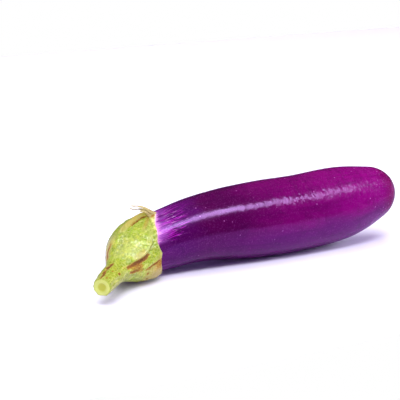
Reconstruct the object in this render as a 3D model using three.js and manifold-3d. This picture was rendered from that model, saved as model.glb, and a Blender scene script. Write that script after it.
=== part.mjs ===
// A long purple eggplant, picked with its calyx and a stub of its stem, lying on its side.
//
// Units are millimetres. +X runs from the stem to the blossom end and +Z is up. The origin is on the
// surface that the fruit lies on, inside the small flat spot that it rests on.
//
// Every piece is a row of rings along a spine. A station gives the spine's place and the skin's radius
// there, and the values between stations follow a smooth curve through them.

import * as THREE from 'three';
import { mergeVertices } from 'three/addons/utils/BufferGeometryUtils.js';
import Module from 'manifold-3d';

const wasm = await Module();
wasm.setup();

// ---- Fruit ----

// Stations from the neck to the blossom end, evenly spaced along X.
const FRUIT_STATIONS = [
  { x: -94, y: 0, z: 17.2, r: 16.9 },
  { x: -57.9, y: 0, z: 23.1, r: 20.2 },
  { x: -21.8, y: 0, z: 23.4, r: 23.5 },
  { x: 14.3, y: 0, z: 23.7, r: 24.0 },
  { x: 50.4, y: 0, z: 26.7, r: 22.7 },
  { x: 86.5, y: 0, z: 32.2, r: 13.1 },
];
const BLOSSOM_END = { length: 14, fullness: 2.4 };
const SHOULDER = { length: 8, fullness: 2.2 };
const FRUIT_SIDES = 52;
const FRUIT_RINGS = { shoulder: 5, body: 24, blossom: 8 };

// The side of a block that fills the space under the surface.
const UNDERGROUND = 400;

// ---- Calyx and stem, on one spine ----

// Stations from the longest lobe's tip to the cut end, nearly one spacing apart.
const STALK_STATIONS = [
  { x: -76, y: 0, z: 20.5, r: 19.7 },
  { x: -86, y: -0.2, z: 18.7, r: 18.8 },
  { x: -95.3, y: -1.8, z: 18.2, r: 18.0 },
  { x: -104, y: -6.9, z: 17.5, r: 17.0 },
  { x: -112, y: -13.2, z: 16.4, r: 14.9 },
  { x: -120, y: -20.5, z: 15.0, r: 10.4 },
  { x: -128, y: -28, z: 13.8, r: 7.0 },
  { x: -136.4, y: -35.8, z: 12.6, r: 6.0 },
  { x: -144.8, y: -43.8, z: 11.4, r: 5.3 },
];
const STATION_SPACING = 10;
const LAST_STATION = STALK_STATIONS.length - 1;

// The station of the rim's notches on average, how many stations the rim leans back on the -Y side,
// and the station where the stem leaves the calyx.
const NOTCH_STATION = 1.65;
const RIM_SLANT = 1.2;
const JUNCTION_STATION = 5.5;

// Lobes round the rim. Angles run from the top towards -Y, in degrees, and reach is along the fruit.
const LOBES = [
  { angle: 3, halfWidth: 60, reach: 6.5 },
  { angle: 91, halfWidth: 24, reach: 1.6 },
  { angle: 134, halfWidth: 24, reach: 1.9 },
  { angle: 190, halfWidth: 30, reach: 7 },
  { angle: 250, halfWidth: 30, reach: 11 },
  { angle: 308, halfWidth: 28, reach: 8.5 },
];
const LOBE_POINT = 1.25;

// Bulges, folds and creases of the calyx: where each starts and ends (angle in degrees, station), its
// half width in millimetres, and its height, which is negative in a crease.
const RELIEF = [
  { from: [343, 1.2], to: [348, 3.6], halfWidth: 3.4, height: 2.0 },
  { from: [142, 1.4], to: [128, 5.2], halfWidth: 15, height: 2.6 },
  { from: [262, -0.6], to: [262, 3.8], halfWidth: 30, height: 1.7 },
  { from: [4, 1.6], to: [2, 4.0], halfWidth: 2.4, height: -1.1 },
  { from: [52, 3.0], to: [76, 5.3], halfWidth: 2.8, height: -1.5 },
  { from: [98, 2.7], to: [107, 4.7], halfWidth: 2.4, height: -0.9 },
  { from: [162, 2.2], to: [160, 4.2], halfWidth: 2.6, height: -0.8 },
  { from: [220, 1.7], to: [216, 4.2], halfWidth: 2.6, height: -0.7 },
  { from: [280, 1.4], to: [278, 4.2], halfWidth: 2.6, height: -1.0 },
];

// How gently a fold dies out at its two ends: 1 is a plain half wave, and less is blunter.
const FOLD_FADE = 0.6;

const CALYX_SIDES = 84;
const CALYX_RINGS = 24;
const RIM_TUCK = 2.2;
const GAP = 0.3;
const FLOOR_CLEARANCE = 0.15;

// Dry curled tips of the top lobe: points along each, and the radius at its root and its end.
const DRY_TIPS = [
  {
    points: [[-88.6, -1, 36], [-91.7, -1, 38.4], [-95, -1, 40.6], [-99.5, -1, 42.4], [-103.9, -0.6, 43]],
    root: 1.5,
    end: 0.45,
  },
  {
    points: [[-91, -2.4, 36.2], [-94.6, -2.2, 39], [-99, -2.6, 41], [-103, -3, 41.4], [-106.1, -3, 42.2]],
    root: 1.4,
    end: 0.45,
  },
  {
    points: [[-93.6, -4.4, 36], [-96.4, -4.6, 39], [-99, -5, 40.2], [-101, -5.6, 40.6]],
    root: 1.0,
    end: 0.4,
  },
];
const TIP_SIDES = 7;
const TIP_RINGS = 10;

const STEM_SIDES = 28;
const STEM_RINGS = 12;
const PITH = { share: 0.52, depth: 0.5 };

// ---- Shapes ----

const UP = new THREE.Vector3(0, 0, 1);
const TANGENT_STEP = 0.01;

// The value at a station number, on a Catmull-Rom curve through evenly spaced values.
function valueAt(values, station) {
  const last = values.length - 1;
  const index = THREE.MathUtils.clamp(Math.floor(station), 0, last - 1);
  const t = station - index;
  const start = values[index];
  const end = values[index + 1];
  const before = index > 0 ? values[index - 1] : 2 * start - end;
  const after = index < last - 1 ? values[index + 2] : 2 * end - start;
  const startSlope = (end - before) / 2;
  const endSlope = (after - start) / 2;
  const cubic = 2 * (start - end) + startSlope + endSlope;
  const square = 3 * (end - start) - 2 * startSlope - endSlope;
  return ((cubic * t + square) * t + startSlope) * t + start;
}

// The spine's place, the skin's radius and the ring's two directions at a station number.
function frameAt(stations, station) {
  const spot = (number) => new THREE.Vector3(
    valueAt(stations.map((s) => s.x), number),
    valueAt(stations.map((s) => s.y), number),
    valueAt(stations.map((s) => s.z), number),
  );
  const centre = spot(station);
  const along = spot(station + TANGENT_STEP).sub(spot(station - TANGENT_STEP)).normalize();
  const side = new THREE.Vector3().crossVectors(UP, along).normalize();
  const up = new THREE.Vector3().crossVectors(along, side);
  return { centre, along, side, up, radius: valueAt(stations.map((s) => s.r), station) };
}

function pointOnRing(frame, angle, radius) {
  return frame.centre.clone()
    .addScaledVector(frame.up, radius * Math.cos(angle))
    .addScaledVector(frame.side, radius * Math.sin(angle));
}

function ring(frame, radius, sides) {
  const turn = (2 * Math.PI) / sides;
  return Array.from({ length: sides }, (_, side) => pointOnRing(frame, side * turn, radius));
}

// A closed body through rings that all have one count of points, with a fan at each end.
function bodyThroughRings(rings) {
  const sides = rings[0].length;
  const middle = (ends) => ends.reduce((sum, p) => sum.add(p), new THREE.Vector3()).divideScalar(sides);
  const points = [...rings.flat(), middle(rings[0]), middle(rings.at(-1))];
  const firstMiddle = points.length - 2;
  const lastMiddle = points.length - 1;
  const lastStart = (rings.length - 1) * sides;
  const faces = [];
  for (let side = 0; side < sides; side += 1) {
    const next = (side + 1) % sides;
    faces.push(firstMiddle, side, next);
    faces.push(lastMiddle, lastStart + next, lastStart + side);
    for (let start = 0; start < lastStart; start += sides) {
      faces.push(start + side, start + sides + side, start + next);
      faces.push(start + next, start + sides + side, start + sides + next);
    }
  }
  return new THREE.BufferGeometry().setFromPoints(points).setIndex(faces);
}

function toSolid(geometry) {
  const bare = geometry.clone();
  bare.deleteAttribute('normal');
  bare.deleteAttribute('uv');
  const merged = mergeVertices(bare);
  return new wasm.Manifold(new wasm.Mesh({
    numProp: 3,
    vertProperties: new Float32Array(merged.attributes.position.array),
    triVerts: new Uint32Array(merged.index.array),
  }));
}

function toGeometry(solid) {
  const { vertProperties, triVerts } = solid.getMesh();
  const geometry = new THREE.BufferGeometry();
  geometry.setAttribute('position', new THREE.BufferAttribute(vertProperties, 3));
  geometry.setIndex(new THREE.BufferAttribute(triVerts, 1));
  return geometry;
}

// ---- Fruit ----

// Parts of a rounded end, crowded towards its tip and stopping just short of it.
function endParts(count) {
  return Array.from({ length: count }, (_, i) => Math.sin(((i + 1) / (count + 0.5)) * (Math.PI / 2)));
}

// Rings of the fruit's skin, or of a larger copy of it, with both ends rounded.
function fruitRings(offset) {
  const first = FRUIT_STATIONS[0].x;
  const last = FRUIT_STATIONS.at(-1).x;
  const spacing = FRUIT_STATIONS[1].x - first;
  const ringAt = (x, closing) => {
    const frame = frameAt(FRUIT_STATIONS, (x - first) / spacing);
    return ring(frame, frame.radius * closing + offset, FRUIT_SIDES);
  };
  const rounded = (part, fullness) => Math.sqrt(1 - part ** fullness);
  const shoulder = endParts(FRUIT_RINGS.shoulder).map((part) => (
    ringAt(first - (SHOULDER.length + offset) * part, rounded(part, SHOULDER.fullness))
  ));
  const bodyEnd = last - BLOSSOM_END.length;
  const body = Array.from({ length: FRUIT_RINGS.body + 1 }, (_, i) => (
    ringAt(THREE.MathUtils.lerp(first, bodyEnd, i / FRUIT_RINGS.body), 1)
  ));
  const blossom = endParts(FRUIT_RINGS.blossom).map((part) => (
    ringAt(bodyEnd + BLOSSOM_END.length * part, rounded(part, BLOSSOM_END.fullness))
  ));
  return [...shoulder.reverse(), ...body, ...blossom];
}

// The space under the surface that the fruit lies on.
function belowSurface() {
  const block = new THREE.BoxGeometry(UNDERGROUND, UNDERGROUND, UNDERGROUND);
  return toSolid(block.translate(0, 0, -UNDERGROUND / 2));
}

function fruitGeometry() {
  return toGeometry(toSolid(bodyThroughRings(fruitRings(0))).subtract(belowSurface()));
}

// ---- Calyx ----

function turnBetween(a, b) {
  return THREE.MathUtils.euclideanModulo(a - b + 180, 360) - 180;
}

// The station number of the rim at an angle, pulled towards the blossom end by the lobes.
function rimStation(degrees) {
  const reach = LOBES.map((lobe) => {
    const away = Math.abs(turnBetween(degrees, lobe.angle)) / lobe.halfWidth;
    return lobe.reach * Math.max(0, 1 - away) ** LOBE_POINT;
  });
  const slant = RIM_SLANT * Math.sin(THREE.MathUtils.degToRad(degrees));
  return NOTCH_STATION + slant - Math.max(...reach) / STATION_SPACING;
}

// How far the skin stands out of the plain ring, with every crease and fold at this place.
function reliefAt(degrees, station, radius) {
  let height = 0;
  for (const fold of RELIEF) {
    const length = fold.to[1] - fold.from[1];
    const part = (station - fold.from[1]) / length;
    const middle = fold.from[0] + turnBetween(fold.to[0], fold.from[0]) * part;
    const away = THREE.MathUtils.degToRad(Math.abs(turnBetween(degrees, middle))) * radius;
    const across = THREE.MathUtils.smoothstep(1 - away / fold.halfWidth, 0, 1);
    const fade = Math.sin(Math.PI * THREE.MathUtils.clamp(part, 0, 1)) ** FOLD_FADE;
    height += fold.height * across * fade;
  }
  return height;
}

// One ring of the calyx's skin, from 0 at the lobed rim to 1 where the stem leaves it, sunk below the
// skin by a depth.
function calyxRing(part, sunk) {
  return Array.from({ length: CALYX_SIDES }, (_, side) => {
    const degrees = (side * 360) / CALYX_SIDES;
    const station = THREE.MathUtils.lerp(rimStation(degrees), JUNCTION_STATION, part);
    const frame = frameAt(STALK_STATIONS, station);
    const radius = frame.radius + reliefAt(degrees, station, frame.radius) - sunk;
    const point = pointOnRing(frame, THREE.MathUtils.degToRad(degrees), radius);
    point.z = Math.max(point.z, FLOOR_CLEARANCE);
    return point;
  });
}

function dryTip({ points, root, end }) {
  const curve = new THREE.CatmullRomCurve3(points.map((p) => new THREE.Vector3(...p)));
  const rings = Array.from({ length: TIP_RINGS }, (_, i) => {
    const part = i / (TIP_RINGS - 1);
    const along = curve.getTangentAt(part);
    const side = new THREE.Vector3(0, 1, 0);
    const up = new THREE.Vector3().crossVectors(along, side).normalize();
    const radius = THREE.MathUtils.lerp(root, end, Math.sqrt(part));
    return ring({ centre: curve.getPointAt(part), side, up }, radius, TIP_SIDES);
  });
  return toSolid(bodyThroughRings(rings));
}

// The rim's first ring is tucked into the fruit, so the rim has a square edge once the fruit's place is
// cut out of the calyx.
function calyxGeometry() {
  const rings = [calyxRing(0, RIM_TUCK)];
  for (let i = 0; i <= CALYX_RINGS; i += 1) rings.push(calyxRing(i / CALYX_RINGS, 0));
  let solid = toSolid(bodyThroughRings(rings));
  for (const tip of DRY_TIPS) solid = solid.add(dryTip(tip));
  return toGeometry(solid.subtract(toSolid(bodyThroughRings(fruitRings(GAP)))));
}

// ---- Stem ----

function stemGeometry() {
  const first = JUNCTION_STATION + GAP / STATION_SPACING;
  const rings = [];
  for (let i = 0; i <= STEM_RINGS; i += 1) {
    const frame = frameAt(STALK_STATIONS, THREE.MathUtils.lerp(first, LAST_STATION, i / STEM_RINGS));
    rings.push(ring(frame, frame.radius, STEM_SIDES));
  }
  const cut = frameAt(STALK_STATIONS, LAST_STATION);
  const pith = ring(cut, cut.radius * PITH.share, STEM_SIDES);
  rings.push(pith, pith.map((p) => p.clone().addScaledVector(cut.along, -PITH.depth)));
  return bodyThroughRings(rings);
}

// ---- The eggplant ----

function piece(name, geometry, material) {
  geometry.computeVertexNormals();
  const mesh = new THREE.Mesh(geometry, new THREE.MeshStandardMaterial(material));
  mesh.name = name;
  return mesh;
}

const eggplant = new THREE.Group();
eggplant.add(
  piece('fruit', fruitGeometry(), { color: 0x5b0a63, roughness: 0.22, metalness: 0 }),
  piece('calyx', calyxGeometry(), { color: 0x9db04a, roughness: 0.7, metalness: 0 }),
  piece('stem', stemGeometry(), { color: 0xb4c048, roughness: 0.7, metalness: 0 }),
);

export default eggplant;
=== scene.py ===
"""A long purple eggplant lying on its side, with its lobed calyx and a stub of its cut stem.

Places and sizes are millimetres in the part's own frame: +X runs from the stem to the blossom end, +Z
is up, and the origin is on the surface inside the small flat spot that the fruit rests on. Angles round
the stalk are degrees from the top towards -Y. A station is a numbered place along a spine.
"""

import logging
import math
from dataclasses import astuple, dataclass, replace
from enum import Enum

import bpy
import numpy as np
from mathutils import Matrix, Vector, noise


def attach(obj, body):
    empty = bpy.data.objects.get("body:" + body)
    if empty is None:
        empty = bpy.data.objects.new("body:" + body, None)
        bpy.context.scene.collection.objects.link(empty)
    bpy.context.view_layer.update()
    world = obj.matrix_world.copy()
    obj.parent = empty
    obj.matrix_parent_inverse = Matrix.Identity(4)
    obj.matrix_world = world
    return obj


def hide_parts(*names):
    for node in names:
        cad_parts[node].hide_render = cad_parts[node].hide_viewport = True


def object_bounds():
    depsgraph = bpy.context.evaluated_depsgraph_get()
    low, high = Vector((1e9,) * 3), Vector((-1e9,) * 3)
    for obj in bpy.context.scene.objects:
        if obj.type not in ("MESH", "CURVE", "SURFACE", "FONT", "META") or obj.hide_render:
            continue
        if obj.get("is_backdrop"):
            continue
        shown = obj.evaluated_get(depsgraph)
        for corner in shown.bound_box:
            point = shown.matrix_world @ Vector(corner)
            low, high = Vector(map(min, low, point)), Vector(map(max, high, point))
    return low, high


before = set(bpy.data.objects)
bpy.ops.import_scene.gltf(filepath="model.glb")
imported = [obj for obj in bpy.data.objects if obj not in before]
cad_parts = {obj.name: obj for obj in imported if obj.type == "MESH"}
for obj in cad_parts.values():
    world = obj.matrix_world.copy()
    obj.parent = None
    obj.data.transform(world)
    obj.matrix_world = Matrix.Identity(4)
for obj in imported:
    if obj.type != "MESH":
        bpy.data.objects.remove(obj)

MM = 0.001
Array = np.ndarray
Colour = tuple[float, float, float]
Place = tuple[float, float, float]
Stations = tuple[tuple[float, float, float, float], ...]
Piece = bpy.types.Object
Material = bpy.types.Material
Socket = bpy.types.NodeSocket
Input = Socket | float | Colour

log = logging.getLogger("eggplant")


class Slot(Enum):
    """The material slots that the pieces' finishes are logged under."""

    SKIN = "skin"
    CALYX = "calyx"
    STEM = "stem"


class Trait(Enum):
    """Values that the pieces keep at their points, for the finishes to read.

    UNROLLED is the point's place on a straight cylinder, so that grain follows the skin.
    """

    UNROLLED = "unrolled"
    PAST_RIM = "past_rim"
    STREAKED = "streaked"
    FROM_RIM = "from_rim"
    SPREAD = "spread"
    CORK = "cork"
    DRY = "dry"
    PALE = "pale"
    ALONG = "along"


# ---- Curves and measures ----


def smooth(part: Array) -> Array:
    """A smooth step from 0 to 1, for parts of the way from 0 to 1."""
    held = np.clip(part, 0.0, 1.0)
    return held * held * (3.0 - 2.0 * held)


def turn_between(a: Array, b: Array) -> Array:
    """The turn from angle b to angle a in degrees, from -180 to 180."""
    return (a - b + 180.0) % 360.0 - 180.0


def unit(vectors: Array) -> Array:
    """The vectors at length 1."""
    return vectors / np.linalg.norm(vectors, axis=-1, keepdims=True)


def hold_above(points: Array, height: float) -> Array:
    """The points, none of them lower than a height."""
    return np.concatenate([points[..., :2], np.maximum(points[..., 2:], height)], axis=-1)


@dataclass(frozen=True)
class Rings:
    """Rings across a spine, as arrays that share their leading shape."""

    centre: Array
    along: Array
    side: Array
    up: Array
    radius: Array

    def points(self, degrees: Array, radius: Array) -> Array:
        """Places on the rings, at angles from the top towards the rings' side."""
        return self.centre + self.spoke(np.radians(degrees)) * radius[..., None]

    def spoke(self, angle: Array) -> Array:
        """The direction from each ring's centre at an angle in radians."""
        return self.up * np.cos(angle)[..., None] + self.side * np.sin(angle)[..., None]


class Spine:
    """A smooth curve through numbered stations, with the skin's radius along it."""

    SLOPE_STEP = 0.01

    def __init__(self, stations: Stations) -> None:
        """Keeps the stations.

        Args:
            stations: The x, y and z of each station, and the skin's radius there.
        """
        rows = np.array(stations)
        self.last = len(rows) - 1
        self.rows = np.vstack([2 * rows[0] - rows[1], rows, 2 * rows[-1] - rows[-2]])

    def values(self, station: Array) -> Array:
        """The place and radius at station numbers, on a Catmull-Rom curve.

        Args:
            station: The station numbers.

        Returns:
            An array with x, y, z and radius last.
        """
        number = np.asarray(station, float)
        index = np.clip(np.floor(number).astype(int), 0, self.last - 1)
        t = (number - index)[..., None]
        before, start, end, after = (self.rows[index + step] for step in range(4))
        start_slope = (end - before) / 2
        end_slope = (after - start) / 2
        cubic = 2 * (start - end) + start_slope + end_slope
        square = 3 * (end - start) - 2 * start_slope - end_slope
        return ((cubic * t + square) * t + start_slope) * t + start

    def rings(self, station: Array) -> Rings:
        """The rings across the spine.

        Args:
            station: The station numbers.

        Returns:
            The rings.
        """
        here = self.values(station)
        ahead, behind = (self.values(np.asarray(station) + step) for step in (self.SLOPE_STEP, -self.SLOPE_STEP))
        along = unit((ahead - behind)[..., :3])
        side = unit(np.cross([0.0, 0.0, 1.0], along))
        return Rings(here[..., :3], along, side, np.cross(along, side), here[..., 3])


# ---- Modelling by hand ----


def deselect_all() -> None:
    """Leaves nothing selected and no object in edit mode."""
    if bpy.context.object and bpy.context.object.mode != "OBJECT":
        bpy.ops.object.mode_set(mode="OBJECT")
    bpy.ops.object.select_all(action="DESELECT")


def pick(*pieces: Piece) -> None:
    """Selects pieces alone, with the first one active.

    Args:
        pieces: The pieces.
    """
    deselect_all()
    for piece in pieces:
        piece.select_set(True)
    bpy.context.view_layer.objects.active = pieces[0]


def settle(piece: Piece, name: str) -> None:
    """Names a piece and its mesh, and puts its place, turn and size into its mesh.

    Args:
        piece: The piece.
        name: Its name.
    """
    pick(piece)
    bpy.ops.object.transform_apply(location=True, rotation=True, scale=True)
    piece.name = name
    piece.data.name = name


def apply_modifier(piece: Piece, kind: str, **settings: object) -> None:
    """Adds a modifier to a piece and applies it.

    Args:
        piece: The object that is changed.
        kind: The modifier's type.
        settings: The modifier's settings by name.
    """
    modifier = piece.modifiers.new(kind.title(), kind)
    for name, value in settings.items():
        setattr(modifier, name, value)
    pick(piece)
    bpy.ops.object.modifier_apply(modifier=modifier.name)


def dent(piece: Piece, name: str, size: float, strength: float) -> None:
    """Moves a piece's skin in and out by a soft cloud pattern.

    Args:
        piece: The object that is changed.
        name: The name of the pattern.
        size: The size of the pattern's lumps in millimetres.
        strength: The whole height of the pattern in millimetres.
    """
    texture = bpy.data.textures.new(name, "CLOUDS")
    texture.noise_scale = size * MM
    texture.noise_depth = 2
    apply_modifier(
        piece, "DISPLACE", texture=texture, texture_coords="LOCAL", strength=strength * MM, mid_level=0.5
    )


def shade_smooth(piece: Piece, degrees: float) -> None:
    """Smooths a piece's shading across edges flatter than an angle."""
    pick(piece)
    bpy.ops.object.shade_smooth_by_angle(angle=math.radians(degrees))


def close_seams(within: float) -> None:
    """Merges the active piece's doubled points, and points its faces out.

    Args:
        within: How far apart doubled points may lie, in millimetres.
    """
    bpy.ops.object.mode_set(mode="EDIT")
    bpy.ops.mesh.select_all(action="SELECT")
    bpy.ops.mesh.remove_doubles(threshold=within * MM)
    bpy.ops.mesh.normals_make_consistent(inside=False)
    bpy.ops.object.mode_set(mode="OBJECT")


def points_of(piece: Piece) -> Array:
    """The places of a piece's points.

    Args:
        piece: The piece.

    Returns:
        The places in millimetres, one a row.
    """
    flat = np.empty(len(piece.data.vertices) * 3)
    piece.data.vertices.foreach_get("co", flat)
    return flat.reshape(-1, 3) / MM


def move_points(piece: Piece, points: Array) -> None:
    """Puts the piece's points at places in millimetres."""
    piece.data.vertices.foreach_set("co", (points * MM).ravel())
    piece.data.update()


def keep_traits(piece: Piece, traits: dict[Trait, Array]) -> None:
    """Keeps values at a piece's points.

    Args:
        piece: The object that holds the points.
        traits: By trait, one number or three for each point.
    """
    for trait, values in traits.items():
        kind, field = ("FLOAT_VECTOR", "vector") if values.ndim > 1 else ("FLOAT", "value")
        attribute = piece.data.attributes.new(trait.value, kind, "POINT")
        attribute.data.foreach_set(field, np.ascontiguousarray(values, dtype=np.float32).ravel())


def unroll(along: Array, degrees: Array, radius: float) -> Array:
    """Places on a straight cylinder, in metres.

    Args:
        along: How far each place lies along the cylinder, in millimetres.
        degrees: The angle of each place.
        radius: The cylinder's radius in millimetres.

    Returns:
        The places, with x, y and z last.
    """
    angle = np.radians(degrees)
    return np.stack([along, -radius * np.sin(angle), radius * np.cos(angle)], axis=-1) * MM


def extrude_along(name: str, sides: int, rings: Rings) -> Piece:
    """Draws a filled circle out into a body through rings, as by hand in edit mode.

    Args:
        name: The name of the new piece.
        sides: The number of points in each ring.
        rings: The rings in order, whose side lies level.

    Returns:
        The new piece, in object mode.
    """
    least_turn = 1e-6
    centres = rings.centre * MM
    heading = np.arctan2(rings.along[:, 1], rings.along[:, 0])
    climb = np.arcsin(rings.along[:, 2])
    deselect_all()
    bpy.ops.mesh.primitive_circle_add(
        vertices=sides, radius=rings.radius[0] * MM, fill_type="TRIFAN", enter_editmode=True,
        location=centres[0], rotation=(0.0, math.pi / 2 - climb[0], heading[0]),
    )
    piece = bpy.context.object
    for i in range(1, len(centres)):
        bpy.ops.mesh.extrude_region_move(
            TRANSFORM_OT_translate={"value": tuple(centres[i] - centres[i - 1])}
        )
        grow = rings.radius[i] / rings.radius[i - 1]
        pivot = tuple(centres[i])
        bpy.ops.transform.resize(value=(grow, grow, grow), center_override=pivot)
        tilt = climb[i - 1] - climb[i]
        swing = Vector((0.0, 0.0, heading[i] - heading[i - 1]))
        swing += Vector((-math.sin(heading[i]) * tilt, math.cos(heading[i]) * tilt, 0.0))
        for axis, angle in zip("XYZ", swing):
            if abs(angle) > least_turn:
                # With no window the operator turns the other way.
                bpy.ops.transform.rotate(value=-angle, orient_axis=axis, center_override=pivot)
    bpy.ops.object.mode_set(mode="OBJECT")
    settle(piece, name)
    return piece


def wrap_grid(name: str, rows: Array, traits: dict[Trait, Array]) -> Piece:
    """Lays a grid on rows that run round a body, and closes its seam and its poles.

    Args:
        name: The name of the new piece.
        rows: The places, as rows by columns by 3, whose first and last column and whose end rows meet.
        traits: The values that each place keeps, as rows by columns.

    Returns:
        The new piece, in object mode, with its faces pointing out.
    """
    row_count, column_count = rows.shape[:2]
    deselect_all()
    bpy.ops.mesh.primitive_grid_add(
        x_subdivisions=column_count - 1, y_subdivisions=row_count - 1, size=2.0
    )
    piece = bpy.context.object
    flat = points_of(piece) * MM
    column = np.rint((flat[:, 0] + 1) / 2 * (column_count - 1)).astype(int)
    row = np.rint((flat[:, 1] + 1) / 2 * (row_count - 1)).astype(int)
    move_points(piece, rows[row, column])
    keep_traits(piece, {trait: values[row, column] for trait, values in traits.items()})
    close_seams(within=0.002)
    settle(piece, name)
    return piece


# ---- Finishes ----


class Nodes:
    """The node tree of a material or a world, with short calls for the nodes that are used here."""

    def __init__(self, name: str, kind: str = "materials", shader: str = "Principled BSDF") -> None:
        """Starts a material with one Principled surface, or a world with its background.

        Args:
            name: The name of the material or world.
            kind: The list of Blender's data that it belongs to.
            shader: The name of the shader that it starts with.
        """
        self.owner = getattr(bpy.data, kind).new(name)
        self.owner.use_nodes = True
        self.tree = self.owner.node_tree
        self.surface = self.tree.nodes[shader]
        self.colour: Input = (0.0, 0.0, 0.0)

    def put(self, socket: Socket, value: object) -> None:
        """Links an input to another node, or sets its own value.

        Args:
            socket: The input.
            value: The other node's socket, or the value.
        """
        if isinstance(value, Socket):
            self.tree.links.new(value, socket)
        elif isinstance(value, tuple) and len(value) == 3 and socket.type == "RGBA":
            socket.default_value = (*value, 1.0)
        else:
            socket.default_value = value

    def fill(self, node: bpy.types.Node, values: dict[str, object]) -> None:
        """Sets a node's inputs by name, with _ for a space."""
        for name, value in values.items():
            self.put(node.inputs[name.replace("_", " ")], value)

    def add(self, kind: str, settings: dict[str, object] | None = None, **values: object) -> bpy.types.Node:
        """Adds a node.

        Args:
            kind: The node's type, without its ShaderNode prefix.
            settings: The node's own settings, if any.
            values: The values or sockets of its inputs, with _ for a space in their names.

        Returns:
            The node.
        """
        node = self.tree.nodes.new("ShaderNode" + kind)
        for name, value in (settings or {}).items():
            setattr(node, name, value)
        self.fill(node, values)
        return node

    def set(self, **values: object) -> None:
        """Sets the surface's inputs by name, with _ for a space."""
        self.fill(self.surface, values)

    def counted(self, where: Socket, *sizes: float) -> Socket:
        """Coordinates, counted in lengths of three sizes in millimetres."""
        scale = tuple(1 / (size * MM) for size in sizes)
        return self.add("Mapping", Vector=where, Scale=scale).outputs["Vector"]

    def place(self, x: float = 1.0, y: float = 0.0, z: float = 0.0) -> Socket:
        """Object coordinates, counted in lengths of x, y and z millimetres, or of x where one is left out."""
        return self.counted(self.add("TexCoord").outputs["Object"], x, y or x, z or x)

    def grain(self, along: float, across: float) -> Socket:
        """Coordinates on the unrolled skin, counted in lengths along and across it in millimetres."""
        here = self.add("Attribute", {"attribute_name": Trait.UNROLLED.value}).outputs["Vector"]
        return self.counted(here, along, across, across)

    def axis(self, name: str, where: Socket) -> Socket:
        """One axis of coordinates."""
        return self.add("SeparateXYZ", Vector=where).outputs[name]

    def trait(self, trait: Trait) -> Socket:
        """A value kept at the piece's points."""
        return self.add("Attribute", {"attribute_name": trait.value}).outputs["Fac"]

    def noise(self, where: Socket, detail: float = 3, roughness: float = 0.5, stir: float = 0.0) -> Socket:
        """Soft noise near 0.5, with one lump to each unit of the coordinates.

        Args:
            where: The coordinates.
            detail: How many finer layers it has.
            roughness: How strong the finer layers are.
            stir: How much it is stirred.

        Returns:
            The noise.
        """
        return self.add(
            "TexNoise", Vector=where, Scale=1.0, Detail=detail, Roughness=roughness, Distortion=stir
        ).outputs[0]

    def step(self, value: Input, start: float, end: float, low: float = 0.0, high: float = 1.0) -> Socket:
        """A smooth step of a value.

        Args:
            value: What is measured.
            start: The value that gives low.
            end: The value that gives high.
            low: The result at and before start.
            high: The result at and after end.

        Returns:
            The stepped value.
        """
        ends = {"From Min": start, "From Max": end, "To Min": low, "To Max": high}
        return self.add("MapRange", {"interpolation_type": "SMOOTHSTEP"}, Value=value, **ends).outputs["Result"]

    def join(self, operation: str, a: Input, b: Input) -> Socket:
        """Two values joined by a math operation.

        Args:
            operation: The operation's name.
            a: The first value.
            b: The second value.

        Returns:
            The result.
        """
        node = self.add("Math", {"operation": operation})
        self.put(node.inputs[0], a)
        self.put(node.inputs[1], b)
        return node.outputs[0]

    def plus(self, a: Input, b: Input) -> Socket:
        """One value added to another."""
        return self.join("ADD", a, b)

    def times(self, a: Input, b: Input) -> Socket:
        """One value times another."""
        return self.join("MULTIPLY", a, b)

    def swing(self, waver: Socket, width: float) -> Socket:
        """A noise's swing to either side of nothing, over a width."""
        return self.times(self.join("SUBTRACT", waver, 0.5), width)

    def blend(self, share: Input, a: Input, b: Input, how: str = "MIX") -> Socket:
        """A colour between two.

        Args:
            share: How much of b, from 0 to 1.
            a: The first colour.
            b: The second colour.
            how: The way they blend.

        Returns:
            The blended colour.
        """
        node = self.add("Mix", {"data_type": "RGBA", "blend_type": how})
        for i, value in ((0, share), (6, a), (7, b)):
            self.put(node.inputs[i], value)
        return node.outputs[2]

    def tint(self, tint: Input, share: Input) -> None:
        """Blends a share of a tint into the colour so far."""
        self.colour = self.blend(share, self.colour, tint)

    def lay(self, tint: Input, value: Input, *ends: float) -> None:
        """Lays a tint over the colour so far where a value steps up, between ends as step takes them."""
        self.tint(tint, self.step(value, *ends))

    def bump(self, height: Input, depth: float, under: Socket | None = None) -> Socket:
        """Fine relief.

        Args:
            height: The relief's height, from 0 to 1.
            depth: Its whole depth in millimetres.
            under: The relief that it lies on, if any.

        Returns:
            The normal.
        """
        node = self.add("Bump", Height=height, Distance=depth * MM, Strength=1.0)
        if under is not None:
            self.put(node.inputs["Normal"], under)
        return node.outputs["Normal"]


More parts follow.
